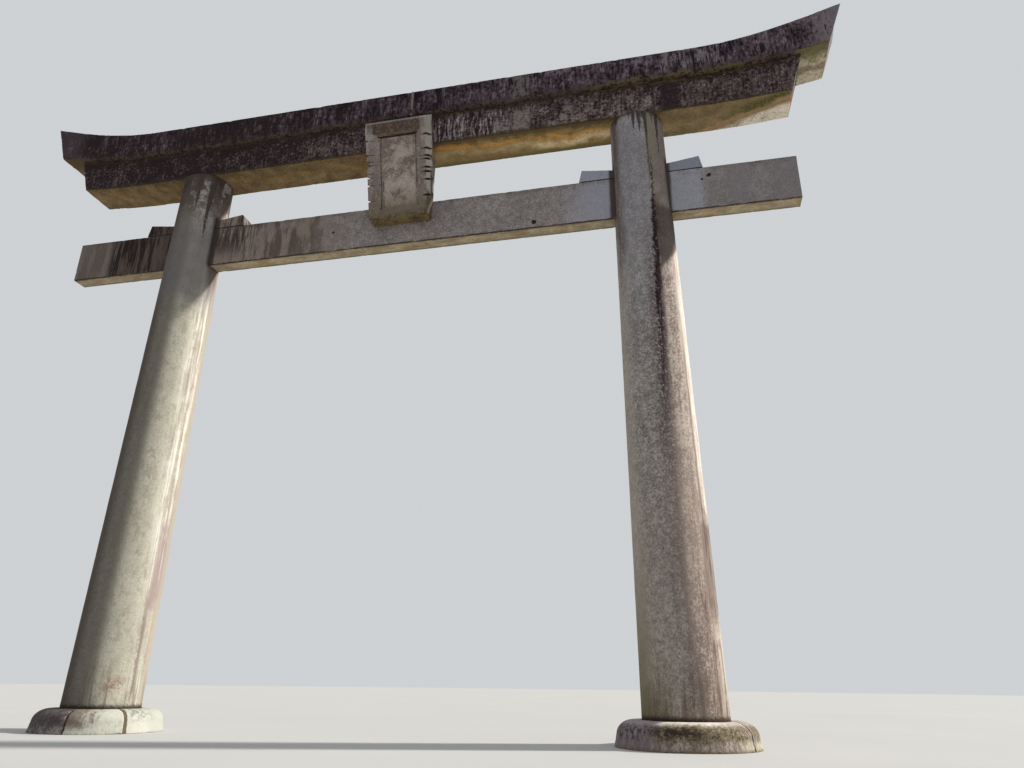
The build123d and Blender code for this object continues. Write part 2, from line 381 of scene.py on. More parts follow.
mortar_finish, place = start_finish("lime_mortar_weathered")
x, _, z = along(place)
sand = cloud(place, 0.006, detail=3, rough=0.7)
patch = cloud(place, 0.06, detail=4, shift=4)
colour = cover(paint(132, 116, 98), paint(176, 164, 148), rise(patch * 0.6 + sand * 0.4, 0.4, 0.62))
low = rise(z, 0.6, 0.2)
high = rise(z, 6, 7)
colour.coat(90, 75, 53, low * 0.85)
thin_joint = most(rise(x, -1, 1), rise(x, -2.72, -2.8))
colour.coat(60, 52, 46, low * thin_joint * 0.9)
colour.coat(112, 104, 104, high * 0.8)
colour.coat(46, 38, 36, rise(patch, 0.5, 0.64) * high * 0.8)
finish(mortar_finish, colour, roughness=0.95, height=sand, relief=0.003)
joints = [f"base_mortar_{side}_{number}" for side in ("left", "right") for number in (1, 2, 3, 4)]
for node in (*joints, "lower_lintel_mortar", "upper_lintel_mortar"):
    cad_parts[node].data.materials.clear()
    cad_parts[node].data.materials.append(mortar_finish)

# Pillars: each one granite shaft, turned to a straight taper and bush-hammered, that leans in a little. Its
# foot stands in the base ring and a mortise is cut through it for the tie beam and the wedges. Rain runs down
# from the lintel in dark tongues and drips.
base_top = 0.224
foot_radius = 0.388
head_radius = 0.311
pillar_lean = 0.118
pillar_top = 6.7497
soffit = 6.75
pillar_sides = 96
ring_step = 0.045
beam_bottom = 5.446
beam_top = 5.996
beam_half_depth = 0.1015
mortise_gap = 0.004
mortise_length = 2.0
mortise_depth = 2 * (beam_half_depth + mortise_gap)
mortise_height = beam_top - beam_bottom + 2 * mortise_gap


def shaft_share(height):
    return (height - base_top) / (soffit - base_top)


def pillar_axis(height):
    return pillar_spacing / 2 - pillar_lean * shaft_share(height)


def pillar_skin(height):
    return foot_radius + (head_radius - foot_radius) * shaft_share(height)


def cut_up(shape, steps):
    """Cuts a stone's faces by planes a step apart along each axis, so that the skin can be shaped."""
    low = [min(vertex.co[axis] for vertex in shape.verts) for axis in range(3)]
    high = [max(vertex.co[axis] for vertex in shape.verts) for axis in range(3)]
    for axis, step in enumerate(steps):
        count = round((high[axis] - low[axis]) / step)
        for number in range(1, count):
            point = Vector((0, 0, 0))
            point[axis] = low[axis] + (high[axis] - low[axis]) * number / count
            normal = Vector((0, 0, 0))
            normal[axis] = 1
            bmesh.ops.bisect_plane(
                shape,
                geom=shape.verts[:] + shape.edges[:] + shape.faces[:],
                dist=1e-6,
                plane_co=point,
                plane_no=normal,
            )


def grown(shape, amount):
    """Moves every face of a small block outward by an amount, for a hole that lets the block in."""
    shape.normal_update()
    for vertex in shape.verts:
        vertex.co += vertex.normal * amount


def cut_away(piece, cutter_shape):
    """Cuts a shape out of a piece and forgets the cutter."""
    cutter = placed("cutter", mesh_from("cutter", cutter_shape))
    cut = piece.modifiers.new("cut", "BOOLEAN")
    cut.operation = "DIFFERENCE"
    cut.solver = "EXACT"
    cut.object = cutter
    result = modified(piece)
    piece.modifiers.clear()
    piece.data = result
    bpy.data.objects.remove(cutter)


pillar_finish, place = start_finish("pillar_granite_weathered")
x, y, z = along(place)
right = rise(x, -0.5, 0.5)
left = 1 - right
outward = (abs(x) - pillar_axis(z)) * (2 * right - 1)
# how far round the shaft a point is, in degrees from the front, to the right as positive
turn = angle(outward, -y)
colour, height = granite(place, paint(184, 178, 172), paint(90, 85, 84), grain=0.021)
runs = cloud(place, 0.035, detail=4, tall=22, shift=1, rough=0.6)
blotch = cloud(place, 0.22, detail=6, shift=6, rough=0.68)
fine = cloud(place, 0.026, detail=5, shift=8, rough=0.8)
wide_runs = cloud(place, 0.055, detail=5, tall=16, shift=33, rough=0.66)
bent = turn + sway(cloud(place, 0.5, detail=3, shift=13), 16) + sway(fine, 22)
# right pillar: washed grey in front, bluish above and warm below, with darker pits in its dressing
pits = rise(cloud(place, 0.04, detail=5, shift=27, rough=0.8), 0.46, 0.38)
colour.coat(76, 70, 70, pits * (0.12 + 0.28 * right))
colour.coat(122, 122, 131, right * rise(z, 3, 5.4) * 0.5)
colour.coat(142, 128, 116, right * rise(z, 3.6, 1.2) * 0.35)
weather_side = rise(bent, -30, -58) * rise(turn, -165, -120)
colour.coat(158, 150, 136, weather_side * right * rise(z, 5.4, 4.2) * 0.5)
colour.coat(108, 106, 84, weather_side * right * rise(z, 1.8, 0.6) * 0.6)
# on the sheltered side a brown-pink crust in upright runs, painted darker as shade near the top, and painted
# paler as sunlight toward the edge that the sun falls on
brown = rise(bent, 12, 26) * rise(bent, 150, 112) * right
grit = wide_runs * 0.22 + fine * 0.48 + blotch * 0.3
crust = cover(paint(108, 92, 85), paint(184, 170, 157), rise(grit, 0.44, 0.56))
# painted shade: the crust is darker above where the beam's shadow ends
crust.coat(104, 95, 88, rise(z, 4.9, 5.8) * 0.75)
colour = cover(colour, crust, brown * 0.8)
# painted sunlight in cream on the right edge, below the beam's shadow
painted_sunlit_edge = rise(bent, 44, 70) * rise(bent, 110, 82) * right * rise(z, 5.3, 4.7)
colour.coat(226, 218, 204, painted_sunlit_edge * rise(grit, 0.62, 0.44) * (0.6 + 0.3 * rise(z, 1, 2.2)))
edge_runs = band(turn + sway(blotch, 16), 55, 61, 3) * band(z, 1, 3.6, 0.5)
colour.coat(92, 80, 74, edge_runs * rise(wide_runs, 0.44, 0.54) * right * 0.6)
seam_run = band(bent, 11, 24, 6) * rise(z + sway(blotch, 2), 3.1, 2.2) * right
colour.coat(94, 77, 74, seam_run * rise(grit, 0.42, 0.54) * 0.5)
colour.coat(186, 170, 156, band(bent, 8, 52, 8) * band(z, 1, 2.9, 0.6) * right * 0.3)
rim_stain = rise(turn + sway(fine, 12), 47, 56) * rise(turn, 120, 98)
rim_stain = rim_stain * band(z + sway(blotch, 1.2), 1.1, 2, 0.2) * right
colour.coat(98, 86, 78, rim_stain * (0.6 + 0.35 * rise(wide_runs, 0.4, 0.52)))
low_runs = rise(wide_runs * 0.7 + blotch * 0.3, 0.46, 0.56) * band(turn, 30, 74, 8) * rise(z, 2.8, 1.2)
colour.coat(88, 70, 66, low_runs * right * 0.75)
stripe = band(bent, -68, -44, 9) * rise(z + sway(blotch, 2.5), 4, 5.4)
colour.coat(80, 64, 60, stripe * right * rise(mean(wide_runs, fine), 0.38, 0.54) * 0.75)
# left pillar: greenish cream painted as the sunlit side, with painted highlights, and painted shade in
# brownish grey on the outer side, along the far edge and in grey where the lintel's shadow falls
painted_sunlit_side = rise(bent, -6, 24) * rise(turn, 165, 120) * rise(z + sway(blotch, 0.6), 6.1, 5.6)
colour.coat(174, 170, 153, painted_sunlit_side * left * (0.7 + 0.15 * rise(fine, 0.42, 0.56)))
colour.coat(150, 148, 130, painted_sunlit_side * left * rise(blotch * 0.7 + fine * 0.3, 0.48, 0.6) * 0.45)
mottle = cloud(place, 0.09, detail=6, tall=1.6, shift=21, rough=0.75)
colour.coat(130, 127, 112, painted_sunlit_side * left * rise(mottle, 0.5, 0.6) * 0.5)
colour.coat(112, 108, 96, painted_sunlit_side * left * rise(fine, 0.52, 0.62) * 0.35)
# painted shade on the outer side, away from the light
shaded = turn + sway(fine, 10)
shade_side = left * rise(turn, -130, -62)
colour.coat(96, 91, 83, rise(shaded, 30, 6) * shade_side * 0.72)
colour.coat(62, 53, 45, rise(shaded, -2, -30) * shade_side * 0.6)
# painted sunlight on the lit side
sunny = rise(bent, 44, 76) * rise(turn, 106, 93) * rise(z + sway(blotch, 0.8), 0.6, 2.6)
colour.coat(208, 205, 192, sunny * painted_sunlit_side * left * rise(wide_runs, 0.58, 0.42) * 0.75)
# painted grey shade where the lintel's shadow falls
colour.coat(98, 95, 99, left * band(z + sway(blotch, 0.5), 4.9, 6, 0.3) * 0.62)
long_runs = cloud(place, 0.06, detail=5, tall=45, shift=19, rough=0.66)
streaks = rise(long_runs, 0.44, 0.6) * band(bent, 64, 116, 10) * rise(z, 0.3, 0.9) * left
streaks = streaks * rise(mean(wide_runs, blotch), 0.44, 0.54)
colour.coat(140, 122, 116, streaks * 0.6)
mauve = band(turn + sway(fine, 14), 76, 120, 6) * band(z + sway(blotch, 0.8), 1.2, 2.05, 0.15)
colour.coat(140, 124, 120, mauve * left * (0.65 + 0.3 * rise(wide_runs, 0.38, 0.52)))
dark_run = band(turn + sway(fine, 8), 75, 82, 2.5) * band(z + sway(wide_runs, 0.8), 0.35, 1.25, 0.15)
colour.coat(116, 104, 98, dark_run * left * rise(mean(wide_runs, fine), 0.4, 0.5) * 0.8)
# painted shade along the far edge
edge_shade = rise(turn, 95, 105) * rise(turn, 165, 135) * left
colour.coat(152, 143, 131, edge_shade * 0.8)
# painted highlights on the pale streaks between the brown runs, below the beam's shadow
bright = rise(long_runs, 0.44, 0.36) * band(bent, 66, 100, 8) * left * rise(z, 5, 4)
colour.coat(228, 224, 214, bright * 0.45)
rust = band(turn, 34, 66, 10) * band(z + sway(blotch, 0.3), 0.34, 0.52, 0.08) * left
colour.coat(122, 90, 78, rust * rise(mean(fine, blotch), 0.46, 0.54) * 0.65)
# a black mossy run down the front of the right pillar, ragged where it thins out, with a veil beside it
drift = x - (3.02 + 0.01 * (z - 4.5))
width = 0.02 * rise(z, 3.2, 4.7) * rise(z, 5.8, 5.1) + 0.007
knots = sway(fine, 0.12) + sway(cloud(place, 0.1, detail=4, shift=17, rough=0.7), 0.08)
front = rise(y, 0, -0.05) * right
veil = band(bent, -2, 20, 8) * rise(z, 0.5, 1.6) * rise(z, 5.6, 4.2) * (0.4 + 0.6 * rise(z, 2, 3.4))
colour.coat(76, 62, 62, veil * right * rise(fine, 0.4, 0.56) * 0.75)
beside = band(drift + knots, -0.01, 0.06, 0.02) * band(z, 3.4, 5.5, 0.4)
colour.coat(70, 54, 56, front * beside * rise(fine, 0.44, 0.54) * 0.85)
run = rise(abs(drift + knots), width * 1.4, width * 0.7) * rise(z, 2.6, 4) * rise(z, 6.2, 5.9)
colour.coat(40, 31, 33, front * run * rise(wide_runs, 0.34, 0.44) * 0.95)
shell = rise(cloud(place, 0.03, detail=1, shift=29), 0.68, 0.74) * band(bent, 6, 50, 8)
colour.coat(196, 190, 180, shell * rise(z, 5.8, 5.2) * right * 0.5)
# dark tongues of rain from the lintel: each is a ragged wedge on the shaft, some with a darker rim
for side_share, centre, half_width, length, rim in (
    (right, -13, 3.5, 0.1, 0),
    (right, -4, 6, 0.24, 0),
    (right, 8, 6.5, 0.34, 0),
    (right, 15, 3, 0.12, 0),
    (right, 21, 4.4, 0.6, 0),
    (right, 37, 4, 0.16, 0),
    (right, 48, 6.5, 0.46, 0),
    (right, -48, 14, 0.1, 0),
    (right, -125, 9, 0.5, 0.3),
    (right, 128, 8, 0.7, 0.3),
    (left, -26, 26, 0.42, 0.1),
    (left, 18, 12, 0.55, 0.1),
    (left, 47, 9, 0.9, 0.2),
    (left, 66, 11, 0.4, 0.6),
    (left, 128, 14, 0.6, 0.3),
    (left, -130, 10, 0.8, 0.4),
):
    frayed = sway(wide_runs, 2.6) + sway(blotch, 1.4) + sway(fine, 2)
    spread = abs(turn - centre) / half_width + (soffit - z) / length + frayed
    tongue = rise(spread, 1.25, 0.65) * (0.85 - 0.45 * rim) + band(spread, 0.6, 0.95, 0.18) * rim * 0.8
    colour.coat(46, 40, 38, side_share * tongue * 0.9)
# an olive ribbon of damp lies between the tongues on the right, with a dark seam that goes on down
ribbon = band(turn + sway(fine, 12), 23, 38, 4) * rise(z + sway(blotch, 0.4), 5.9, 6.3) * right
colour.coat(122, 116, 88, ribbon * rise(fine, 0.4, 0.52) * 0.45)
trail = band(turn + sway(fine, 16) + sway(blotch, 6), 20, 23, 1.5) * band(z, 5.85, 6.5, 0.12) * right
colour.coat(66, 58, 54, trail * rise(mean(wide_runs, fine), 0.42, 0.5) * 0.75)
# painted shade in a patchy dark line at the top of each shaft, under the lintel
colour.coat(62, 54, 50, rise(z + sway(fine, 0.08), 6.68, 6.75) * rise(blotch, 0.34, 0.56) * 0.8)
colour.coat(68, 58, 52, left * rise(z, 5.95, 6.5) * rise(blotch, 0.45, 0.52) * 0.8)
# thin brown runs on the right pillar, the shadowed mouths of the mortises and the damp below them, and the
# tie beam's shadow painted on the right pillar's right side
colour.coat(108, 88, 80, rise(runs, 0.52, 0.6) * band(turn, 40, 92, 10) * right * 0.3)
mouth = band(z, beam_bottom - 0.02, beam_top + 0.17, 0.04) * rise(abs(y), 0.16, 0.1)
colour.coat(46, 38, 36, mouth * 0.8)
below_mouth = rise(z + runs * 0.5, beam_bottom - 0.25, beam_bottom + 0.2)
below_mouth = below_mouth * rise(z, beam_bottom + 0.1, beam_bottom) * rise(abs(y), 0.15, 0.06)
colour.coat(74, 62, 56, below_mouth * 0.6)
# painted shadow of the tie beam, its lower edge sloping down round the shaft
painted_beam_shadow = band(turn, 26, 86, 5) * rise(z - turn * 0.0064, 4.44, 4.51) * rise(z, 5.5, 5.4)
colour.coat(66, 56, 54, painted_beam_shadow * right * 0.7)
# green and earth splashed up at the foot, and painted shade in a dark line where the shaft meets the base
# ring
splash = rise(z + sway(blotch, 0.9), 0.8, 0.28)
colour.coat(108, 103, 80, splash * right * (0.1 + 0.6 * rise(turn, 0, -46)))
colour.coat(100, 80, 72, splash * right * rise(mean(wide_runs, fine), 0.48, 0.57) * 0.65)
colour.coat(90, 80, 72, splash * rise(runs, 0.5, 0.62) * 0.5)
colour.coat(42, 35, 31, rise(z + sway(fine, 0.09), 0.275, 0.225) * 0.9)
finish(pillar_finish, colour, roughness=0.88, height=height + fine * 0.4, relief=0.004)

for side, sign in (("left", -1), ("right", 1)):
    shape = bmesh.new()
    bmesh.ops.create_cone(
        shape,
        cap_ends=True,
        segments=pillar_sides,
        radius1=pillar_skin(0),
        radius2=pillar_skin(pillar_top),
        depth=pillar_top,
        matrix=Matrix.Translation((0, 0, pillar_top / 2)),
    )
    cut_up(shape, (inf, inf, ring_step))
    for vertex in shape.verts:
        vertex.co.x += sign * pillar_axis(vertex.co.z)
    edges = arris_map(shape)
    wear(shape, edges, hollow=0.003, chip=0.010)
    node = f"pillar_{side}"
    piece = set_in_place(f"{node}_worn", shape, pillar_finish, [node])
    centre = sign * pillar_axis(beam_top)
    middle = Matrix.Translation((centre, 0, (beam_bottom + beam_top) / 2))
    size = Matrix.Diagonal((mortise_length, mortise_depth, mortise_height, 1))
    mortise = bmesh.new()
    bmesh.ops.create_cube(mortise, size=1.0, matrix=middle @ size)
    cut_away(piece, mortise)
    for place_of_wedge in ("outer", "inner"):
        hole = stone_shape(f"wedge_{side}_{place_of_wedge}")
        grown(hole, mortise_gap)
        cut_away(piece, hole)
    piece.data.set_sharp_from_angle(angle=sharp_angle)

# Tie beam, wedges and strut: straight sawn granite, dressed smoother than the pillars. The beam goes through
# both pillars, four thin wedges driven in over it hold it fast, and the short strut stands on its middle.
pillar_at_beam = 2.886

beam_finish, place = start_finish("beam_granite_weathered")
x, y, z = along(place)
face_y, face_z = facing(place)[1:]
colour, height = granite(place, paint(160, 153, 151), paint(98, 92, 90), grain=0.015)
blotch = cloud(place, 0.25, detail=6, shift=6, rough=0.65)
runs = cloud(place, 0.05, detail=5, tall=12, shift=2, rough=0.65)
broad_runs = cloud(place, 0.16, detail=5, tall=5, shift=12, rough=0.65)
fine = cloud(place, 0.022, detail=4, shift=8, rough=0.78)
# clean bluish stone beside the right pillar, where lintel and pillar keep the rain off
clean = rise(x + sway(fine, 0.3), 1.85, 2.35) * rise(x + sway(fine, 0.12), 3.64, 3.54)
colour.coat(146, 149, 164, clean * 0.65)
wedges = rise(z, beam_top - 0.002, beam_top + 0.002) * rise(abs(x), 1, 1.4)
colour.coat(140, 143, 160, wedges * rise(x, -1, 1) * 0.5)
colour.coat(112, 113, 127, wedges * rise(x, 3.1, 3.2) * 0.5)
outer = rise(x + sway(fine, 0.12), 3.55, 3.66)
colour.coat(116, 111, 114, outer * (0.35 + 0.3 * rise(broad_runs, 0.52, 0.42)))
colour.coat(138, 134, 138, outer * rise(broad_runs, 0.52, 0.62) * 0.4)
colour.coat(88, 76, 72, rise(fine, 0.55, 0.66) * (1 - clean * 0.6) * 0.5)
# the strut, in shelter behind the plaque, has a green bloom
strut_side = rise(abs(x), 0.335, 0.325) * rise(z, beam_top - 0.002, beam_top + 0.002)
colour.coat(126, 127, 110, strut_side * 0.6)
# the left half is warmer and dirtier, with dark rain stains; left of the left pillar the beam is painted
# darker as the pillar's shadow, and two black runs hang there
left_half = rise(x + sway(blotch, 1.5), -0.4, -1.6)
colour.coat(120, 104, 93, left_half * 0.6)
colour.coat(64, 54, 50, left_half * rise(broad_runs, 0.5, 0.6) * 0.6)
left_tip = rise(x + sway(blotch, 0.3), -3.96, -4.05)
colour.coat(98, 90, 85, left_tip * 0.6)
wet = band(x, -4.1, -3.48, 0.06) * rise(runs * 0.7 + broad_runs * 0.3, 0.44, 0.53)
near_pillar = band(x, -3.56, -3.1, 0.05)
inner_wet = band(x, -2.62, -1.95, 0.2) * rise(runs, 0.46, 0.56) * rise(z, 5.45, 5.8)
# painted shadow of the left pillar over the beam's arm beyond it
colour.coat(70, 58, 53, most(near_pillar, band(x, -4.05, -3.5, 0.05)) * 0.75)
colour.coat(34, 27, 26, most(most(wet, inner_wet * 0.7), near_pillar * rise(runs, 0.48, 0.58)) * 0.9)
# a faint drip line under the top arris, small dark knots, and grime with painted shade beside the pillars
# where the beam enters them
top_drips = rise(z + sway(runs, 0.35), 5.9, 6.02) * rise(blotch, 0.38, 0.58)
colour.coat(72, 63, 60, top_drips * (1 - wedges) * 0.55)
for knot_x, knot_z, size in (
    (1.647, 5.524, 0.034),
    (3.662, 5.877, 0.03),
    (3.582, 5.835, 0.018),
    (-0.9, 5.71, 0.02),
):
    aside = x - knot_x + sway(fine, 0.06)
    below = z - knot_z + sway(runs, 0.04)
    hole = rise(aside * aside + below * below, size * size, size * size * 0.4)
    colour.coat(36, 30, 30, hole * rise(face_y, -0.5, -0.9) * 0.95)
seam = rise(abs(z - beam_top + sway(fine, 0.012)), 0.01, 0.004) * band(abs(x), 2.2, 3.6, 0.02)
colour.coat(48, 41, 40, seam * rise(runs, 0.36, 0.48) * 0.8)
# grime and painted shade on the beam beside each pillar's mortise
gap_x = abs(abs(x) - pillar_at_beam)
colour.coat(56, 48, 45, rise(gap_x + sway(runs, 0.04), 0.365, 0.33) * 0.85)
# the sheltered underside is stained tan, darker along the front arris and green along the back
under = rise(face_z, -0.5, -0.85) * rise(z, 5.56, 5.5)
patch = cloud(place, 0.09, detail=6, wide=2.5, shift=7, rough=0.72)
underside = cover(paint(138, 124, 102), paint(184, 171, 144), rise(patch * 0.6 + fine * 0.4, 0.4, 0.6))
underside.coat(104, 88, 68, rise(blotch * 0.6 + fine * 0.4, 0.5, 0.6) * 0.45)
underside.coat(166, 134, 92, rise(mean(patch, blotch), 0.5, 0.6) * 0.5)
underside.coat(96, 96, 62, rise(y + sway(patch, 0.12), 0.05, 0.09) * 0.8)
underside.coat(64, 53, 45, rise(y + sway(fine, 0.05), -0.07, -0.095) * 0.8)
colour = cover(colour, underside, under)
front_arris = band(z + sway(fine, 0.02), beam_bottom - 0.01, beam_bottom + 0.012, 0.006)
colour.coat(56, 48, 43, front_arris * rise(face_y, 0.1, -0.4) * rise(broad_runs, 0.36, 0.5) * 0.85)
colour.coat(172, 166, 160, worn(place, "chip") * 0.35)
finish(beam_finish, colour, roughness=0.85, height=height, relief=0.002)


def dressed(node, arris, steps, hollow, chip):
    """A node's shape with eased arrises, the hollows of the dressing and chips along the edges."""
    shape = stone_shape(node)
    edges = arris_map(shape)
    bmesh.ops.bevel(
        shape,
        geom=arrises(shape),
        offset=arris,
        offset_type="OFFSET",
        affect="EDGES",
        segments=2,
        profile=0.5,
        material=-1,
        clamp_overlap=True,
    )
    cut_up(shape, steps)
    wear(shape, edges, hollow, chip)
    return shape


shape = dressed("tie_beam", arris=0.004, steps=(0.03, 0.02, 0.03), hollow=0.002, chip=0.007)
set_in_place("tie_beam_worn", shape, beam_finish, ["tie_beam"])
for side in ("left", "right"):
    for place_of_wedge in ("outer", "inner"):
        node = f"wedge_{side}_{place_of_wedge}"
        shape = dressed(node, arris=0.003, steps=(0.025, 0.02, 0.02), hollow=0.0015, chip=0.006)
        set_in_place(f"{node}_worn", shape, beam_finish, [node])
shape = dressed("strut", arris=0.006, steps=(0.03, 0.03, 0.03), hollow=0.002, chip=0.010)
set_in_place("strut_worn", shape, beam_finish, ["strut"])

# Plaque: one granite slab, carved with a splayed frame round a sunk panel and with grooves across its flanks.
# It leans forward against strut and lintel, and rain has stained the top rail brown.
plaque_lean = radians(15)
plaque_foot_y = -0.2818
plaque_foot_z = 5.714
plaque_length = 1.216
plaque_centre = 0.015
rail_end = 1.076
panel_end = 1.050
groove_slope = 0.364
groove_places = (0.180, 0.341, 0.422, 0.466, 0.552, 0.586, 0.662, 0.811)

plaque_finish, place = start_finish("plaque_granite_weathered")
x, y, z = along(place)
face_x, face_y, face_z = facing(place)
up_face = (z - plaque_foot_z) * cos(plaque_lean) - (y - plaque_foot_y) * sin(plaque_lean)
into_face = (y - plaque_foot_y) * cos(plaque_lean) + (z - plaque_foot_z) * sin(plaque_lean)
colour, height = granite(place, paint(168, 155, 148), paint(84, 75, 71), grain=0.018)
runs = cloud(place, 0.03, detail=5, tall=7, shift=2, rough=0.68)
blotch = cloud(place, 0.16, detail=6, shift=6, rough=0.68)
fine = cloud(place, 0.02, detail=5, shift=8, rough=0.8)
aside = abs(x - plaque_centre)
colour.coat(118, 104, 92, rise(blotch, 0.44, 0.58) * 0.45)
colour.coat(74, 65, 60, rise(fine, 0.54, 0.64) * 0.45)
# the frame is a purplish grey with upright grime, the panel a little paler
frame_share = rise(into_face, 0.088, 0.08)
colour.coat(122, 111, 112, frame_share * rise(runs, 0.4, 0.56) * 0.45)
panel = rise(into_face, 0.085, 0.095) * rise(face_y, -0.8, -0.95)
colour.coat(182, 170, 162, panel * rise(blotch, 0.6, 0.4) * 0.6)
colour.coat(88, 77, 72, panel * rise(mean(fine, blotch), 0.5, 0.58) * 0.35)
colour.coat(178, 166, 154, worn(place, "arris") * rise(fine, 0.42, 0.58) * 0.3)
# the top rail is streaked brown from its upper arris down, with a pale washed lip
rail = rise(up_face, rail_end - 0.005, rail_end + 0.02) * rise(aside, 0.375, 0.355)
colour.coat(92, 82, 88, rail * 0.85)
colour.coat(54, 42, 43, rail * rise(runs * 0.7 + fine * 0.3, 0.42, 0.52) * 0.8)
colour.coat(140, 136, 144, rise(up_face + sway(fine, 0.05), 1.188, 1.202) * 0.75)
# the flanks are paler, with painted shade low down and along their lower back edge and black dirt with
# painted shade in the grooves, and the foot is olive, nearly black underneath
flank = rise(abs(face_x), 0.6, 0.85)
colour.coat(180, 174, 163, flank * 0.75)
corner = rise(up_face + sway(blotch, 0.4), 0.86, 1.02) * rise(aside + sway(fine, 0.05), 0.295, 0.32)
colour.coat(152, 147, 138, corner * frame_share * 0.6)
# painted shade on the flanks: along the lower back edge and over the lower part
painted_flank_shade = rise(into_face + sway(fine, 0.03), 0.14, 0.19) * rise(up_face, 0.7, 0.5)
painted_flank_shade = most(painted_flank_shade, rise(up_face, 0.34, 0.22))
colour.coat(78, 71, 64, painted_flank_shade * flank * 0.85)
# painted shade and dirt darken the grooves' faces and the lines where they meet the flank
upward = abs(face_z * cos(plaque_lean) - face_y * sin(plaque_lean))
groove = rise(upward, 0.3, 0.6) * rise(aside, 0.275, 0.29) * band(up_face, 0.13, 1.03, 0.02)
colour.coat(74, 64, 57, groove * 0.75)
groove_dirt_and_shade = most(flank, rise(aside + sway(fine, 0.06), 0.285, 0.315) * rise(into_face, 0.1, 0.06) * 0.7)
for share_up in groove_places:
    away = abs(up_face - into_face * groove_slope - share_up * plaque_length + sway(fine, 0.02))
    colour.coat(60, 50, 43, rise(away, 0.012, 0.005) * groove_dirt_and_shade * rise(runs, 0.34, 0.46) * 0.8)
colour.coat(104, 92, 74, rise(up_face + sway(blotch, 0.5), 0.36, 0.05) * 0.55)
colour.coat(70, 62, 46, rise(up_face + sway(runs, 0.3), 0.1, 0) * rise(runs, 0.42, 0.56) * 0.7)
colour.coat(122, 104, 74, rise(face_z, -0.6, -0.9) * 0.85)
colour.coat(64, 52, 38, rise(face_z, -0.6, -0.9) * rise(mean(blotch, fine), 0.48, 0.56) * 0.7)
# a bold dark line of painted shade lies in the step under the top rail, and thin patchy ones in the steps
# beside the panel
line = band(up_face, panel_end - 0.001, rail_end - 0.006, 0.005) * rise(aside, 0.262, 0.25)
colour.coat(40, 30, 22, line * rise(into_face, 0.03, 0.06) * 0.9)
seam = band(aside, 0.222, 0.234, 0.004) * rise(up_face, panel_end + 0.02, panel_end)
seam = seam * rise(up_face, 0.12, 0.17)
colour.coat(72, 62, 56, seam * rise(into_face, 0.05, 0.07) * rise(runs, 0.36, 0.5) * 0.8)
colour.coat(60, 50, 44, worn(place, "chip") * 0.4)
finish(plaque_finish, colour, roughness=0.9, height=height + fine * 0.5, relief=0.004)

shape = dressed("plaque", arris=0.004, steps=(0.022, 0.03, 0.022), hollow=0.003, chip=0.014)
set_in_place("plaque_worn", shape, plaque_finish, ["plaque"])

# Lower lintel: two long granite beams that meet over the middle and rest on both pillars and the strut. Their
# faces are black with lichen over paler stone, and the sheltered soffit is stained ochre and cream.
sweep_start = 3.6
bed = 7.2
bed_rise = 0.15
bed_end = 5.12
soffit_rise = 0.05


def lift(x, amount):
    """How far the upsweep lifts a line of the lintel over a point, by this amount at the end of the bed."""
    sweep = most(abs(x) - sweep_start, 0) / (bed_end - sweep_start)
    return sweep * sweep * amount


lower_finish, place = start_finish("lower_lintel_granite_weathered")
x, y, z = along(place)
face_y, face_z = facing(place)[1:]
under_bed = bed + lift(x, bed_rise) - z
mossy_stretch = band(x, 2.4, 4.3, 0.4)
broad = cloud(place, 0.45, detail=9, tall=1.3, shift=24, rough=0.7)
patches = cloud(place, 0.14, detail=8, shift=14, rough=0.74)
cells = cloud(place, 0.04, detail=6, shift=4, rough=0.82)
blotch = cloud(place, 0.4, detail=6, shift=6, rough=0.65)
runs = cloud(place, 0.03, detail=5, tall=9, shift=2, rough=0.68)
broad_runs = cloud(place, 0.12, detail=5, tall=6, shift=12, rough=0.65)
fine = cloud(place, 0.018, detail=4, shift=8, rough=0.78)
# lichen: paler stone shows in ragged patches through a nearly black crust, fewer to the left and right
zone = band(x, 1.62, 3.22, 0.12) * 0.002 + band(x, 0.35, 1.45, 0.1) * 0.008 - rise(x, -0.3, -2.2) * 0.045
zone = zone - rise(x, 3.4, 3.8) * 0.008 - rise(under_bed, 0.2, 0.04) * 0.022
tone = broad * 0.14 + patches * 0.22 + cells * 0.46 + runs * 0.18 + zone
colour = cover(paint(42, 31, 33), paint(82, 69, 70), rise(tone, 0.455, 0.505))
colour.coat(126, 113, 110, rise(tone, 0.505, 0.575))
colour.coat(34, 25, 28, rise(cells * 0.7 + patches * 0.3, 0.46, 0.4) * 0.85)
colour.coat(150, 140, 136, rise(mean(fine, cells), 0.56, 0.62) * rise(tone, 0.47, 0.52) * 0.6)
pale_patches = band(x, 1.66, 3.2, 0.1) * rise(patches * 0.55 + cells * 0.45, 0.49, 0.56)
colour.coat(134, 123, 120, pale_patches * rise(under_bed, 0.08, 0.2) * 0.55)
# upright marks: pale runs, one pale green patch with a hard edge, and one smooth dark band
pale_runs = band(x, 0.36, 1.3, 0.08) * rise(runs, 0.5, 0.58) * rise(under_bed, 0.05, 0.14)
colour.coat(36, 27, 30, band(x, 0.3, 1.36, 0.08) * rise(runs, 0.48, 0.4) * 0.8)
colour.coat(158, 150, 156, pale_runs * rise(cells, 0.4, 0.52) * 0.85)
right_runs = rise(x, 3.4, 3.6) * rise(broad_runs, 0.52, 0.6) * rise(under_bed, 0.02, 0.1)
colour.coat(104, 96, 94, right_runs * 0.4)
patch = band(x + sway(fine, 0.03), 1.42, 1.62, 0.012) * rise(under_bed + sway(patches, 0.3), 0.06, 0.16)
colour.coat(122, 117, 110, patch * (0.4 + 0.45 * rise(cells, 0.42, 0.54)))
left_of_patch = band(x, 1.16, 1.42, 0.06) * rise(under_bed + sway(patches, 0.3), 0.18, 0.3)
